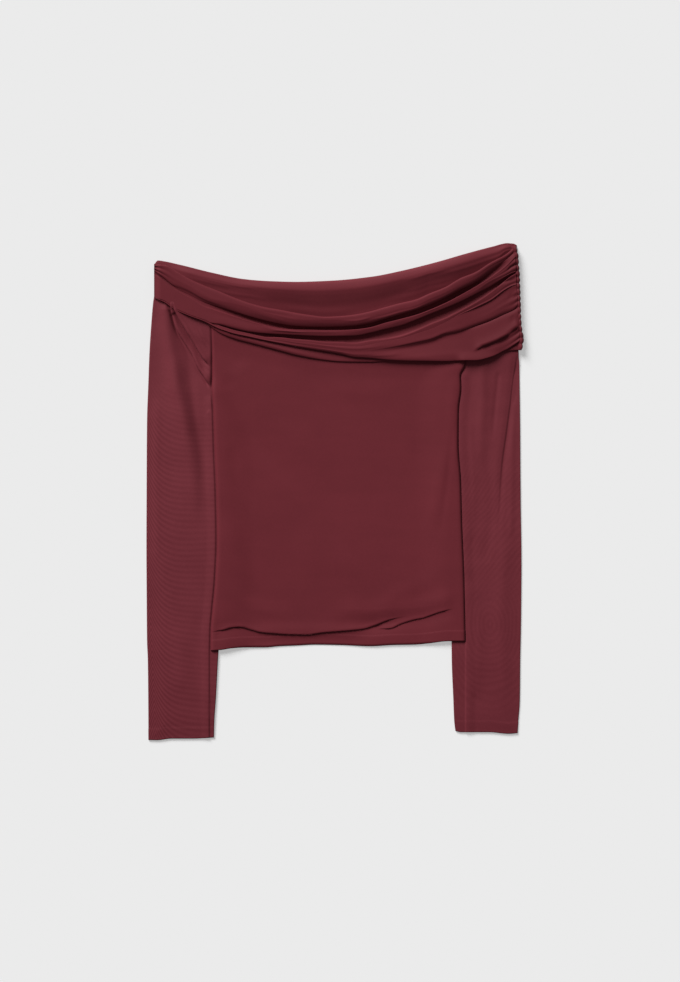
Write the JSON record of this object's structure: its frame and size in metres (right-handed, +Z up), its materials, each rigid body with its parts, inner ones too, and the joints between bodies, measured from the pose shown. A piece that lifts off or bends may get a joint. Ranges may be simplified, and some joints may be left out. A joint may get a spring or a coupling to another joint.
{
  "type": "off-the-shoulder draped long-sleeved top",
  "caption": "Fitted off-the-shoulder top in burgundy stretch mesh, laid flat, with long sleeves, a rolled asymmetric neckline drape and a gathered side.",
  "frame": {"origin": "on the surface that the top lies on, under the middle of its bounding box", "axes": "+X to the wearer's left, +Y from the hem to the neckline, +Z up out of the surface, through the front"},
  "size_m": [0.4716, 0.6206, 0.0131],
  "materials": {
    "front_panel_cloth": "burgundy stretch mesh in two layers, matte with a soft sheen",
    "back_panel_cloth": "burgundy stretch mesh in two layers, matte with a soft sheen",
    "sleeve_right_cloth": "burgundy stretch mesh in two layers, matte with a soft sheen",
    "sleeve_left_cloth": "burgundy stretch mesh in two layers, matte with a soft sheen",
    "front_drape_cloth": "burgundy stretch mesh in two layers, matte with a soft sheen",
    "front_underlayer_cloth": "burgundy stretch mesh in two layers, matte with a soft sheen",
    "back_drape_cloth": "burgundy stretch mesh in two layers, matte with a soft sheen",
    "side_gather_cloth": "burgundy stretch mesh in two layers, matte with a soft sheen"
  },
  "bodies": {
    "root": {"front_panel": "front_panel_cloth", "back_panel": "back_panel_cloth", "sleeve_right": "sleeve_right_cloth", "sleeve_left": "sleeve_left_cloth", "front_drape": "front_drape_cloth", "front_underlayer": "front_underlayer_cloth", "back_drape": "back_drape_cloth", "side_gather": "side_gather_cloth"}
  },
  "joints": []
}
